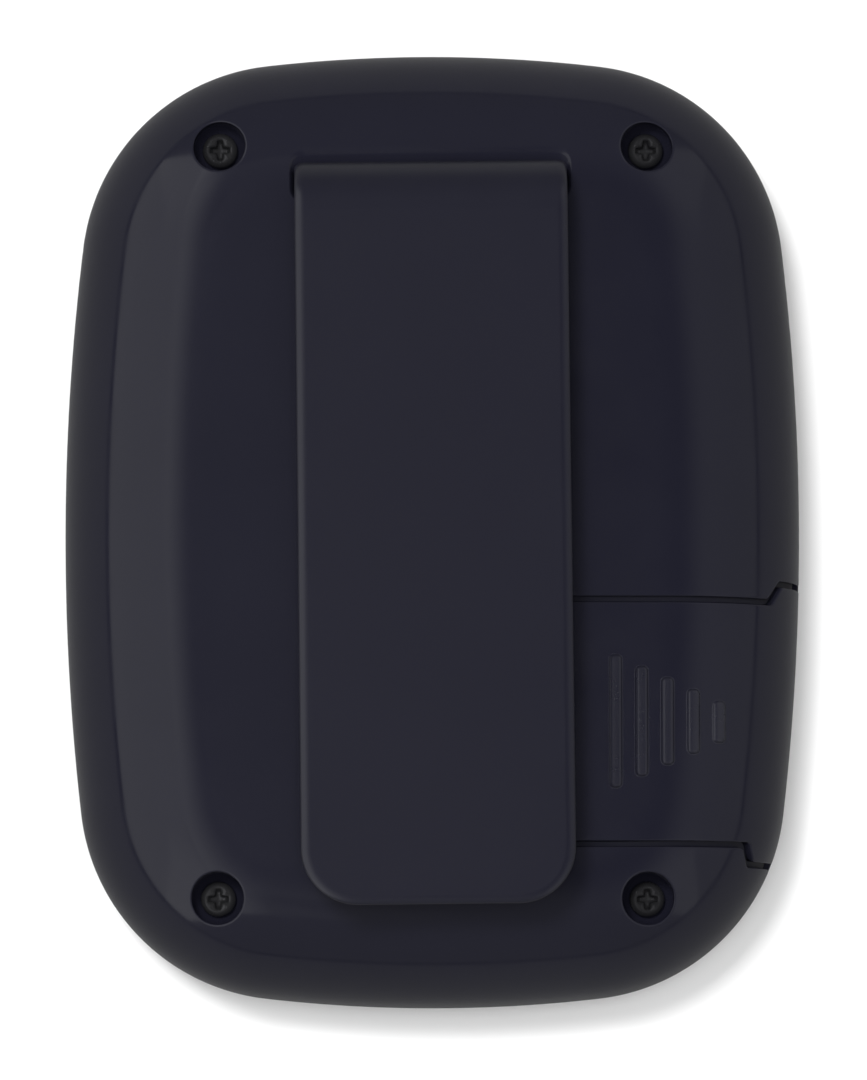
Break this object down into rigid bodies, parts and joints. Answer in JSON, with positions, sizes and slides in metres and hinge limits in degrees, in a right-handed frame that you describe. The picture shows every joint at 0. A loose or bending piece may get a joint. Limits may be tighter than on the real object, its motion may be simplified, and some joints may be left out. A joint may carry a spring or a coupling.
{
  "type": "pager",
  "caption": "Pocket pager with a rounded two-part case, a belt clip, a sliding battery door, a display window and keys on the front.",
  "frame": {"origin": "centre of the bounding box's bottom face, in the plane of the front face", "axes": "+Z out of the back, on the clip's side; +Y towards the top end, where the clip is rooted; +X towards the battery door"},
  "size_m": [0.0676, 0.0878, 0.0302],
  "materials": {
    "case_plastic": "glossy black with a blue cast",
    "clip_plastic": "satin, finely grained",
    "tray_plastic": "satin black",
    "black_steel": "black oxide",
    "bright_steel": "zinc plated",
    "contact_metal": "nickel plated spring steel",
    "cell_jacket": "printed metal jacket, plain",
    "black_wire": "soft insulation",
    "red_wire": "soft insulation",
    "clear_plastic": "clear moulded",
    "gasket_foam": "thin black foam",
    "display_glass": "grey-green liquid crystal display",
    "white_plastic": "moulded white",
    "connector_rubber": "layered conductive rubber",
    "key_rubber": "dark grey, soft",
    "can_steel": "tinned cans",
    "lamp_red": "tinted",
    "board_laminate": "green solder mask",
    "chip_plastic": "moulded black",
    "rubber_boot": "soft black",
    "brass": "plain"
  },
  "bodies": {
    "case": {"rear_cover": "case_plastic", "front_cover": "case_plastic", "battery_tray": "tray_plastic", "case_screw_top_left": "black_steel", "case_screw_top_right": "black_steel", "case_screw_bottom_left": "black_steel", "case_screw_bottom_right": "black_steel", "board_screw_upper_left": "bright_steel", "board_screw_upper_right": "bright_steel", "board_screw_lower_left": "bright_steel", "board_screw_lower_right": "bright_steel", "positive_contact": "contact_metal", "negative_contact": "contact_metal", "tray_spring": "contact_metal", "battery_cell_upper": "cell_jacket", "battery_cell_lower": "cell_jacket", "negative_lead": "black_wire", "positive_lead": "red_wire", "display_window": "clear_plastic", "light_pipe": "clear_plastic", "window_gasket": "gasket_foam", "lcd_front_glass": "display_glass", "lcd_rear_glass": "display_glass", "lcd_holder": "white_plastic", "backlight_panel": "white_plastic", "lcd_connector_upper": "connector_rubber", "lcd_connector_lower": "connector_rubber", "speaker": "can_steel", "key_switch_left": "can_steel", "key_switch_middle": "can_steel", "key_switch_right": "can_steel", "receiver_module": "can_steel", "clock_crystal": "can_steel", "vibration_motor": "can_steel", "alert_lamp": "lamp_red", "circuit_board": "board_laminate", "processor_chip": "chip_plastic", "memory_chip": "chip_plastic", "capacitor": "chip_plastic", "motor_cradle": "rubber_boot", "loop_antenna": "brass"},
    "clip": {"belt_clip": "clip_plastic"},
    "door": {"battery_door": "case_plastic", "bridge_contact": "contact_metal", "door_spring": "contact_metal"},
    "left_key": {"key_left": "key_rubber", "key_plunger_left": "white_plastic"},
    "middle_key": {"key_middle": "key_rubber", "key_plunger_middle": "white_plastic"},
    "right_key": {"key_right": "key_rubber", "key_plunger_right": "white_plastic"},
    "rotor": {"motor_weight": "brass"}
  },
  "joints": [
    {"name": "clip_flex", "type": "hinge", "parent": "case", "child": "clip", "pos_m": [0, 0.03, 0.0195], "axis": [-1, 0, 0], "range_deg": [-0.5, 6], "stiffness_Nm_per_rad": 3.2},
    {"name": "door_slide", "type": "slide", "parent": "case", "child": "door", "axis": [1, 0, 0], "range_m": [0, 0.048]},
    {"name": "left_key_press", "type": "slide", "parent": "case", "child": "left_key", "axis": [0, 0, 1], "range_m": [0, 0.0005], "stiffness_N_per_m": 1500, "springref_m": -0.0004},
    {"name": "middle_key_press", "type": "slide", "parent": "case", "child": "middle_key", "axis": [0, 0, 1], "range_m": [0, 0.0005], "stiffness_N_per_m": 1500, "springref_m": -0.0004},
    {"name": "right_key_press", "type": "slide", "parent": "case", "child": "right_key", "axis": [0, 0, 1], "range_m": [0, 0.0005], "stiffness_N_per_m": 1500, "springref_m": -0.0004},
    {"name": "rotor_spin", "type": "hinge", "parent": "case", "child": "rotor", "pos_m": [-0.0084, 0.002, 0.0124], "axis": [1, 0, 0], "continuous": true}
  ]
}
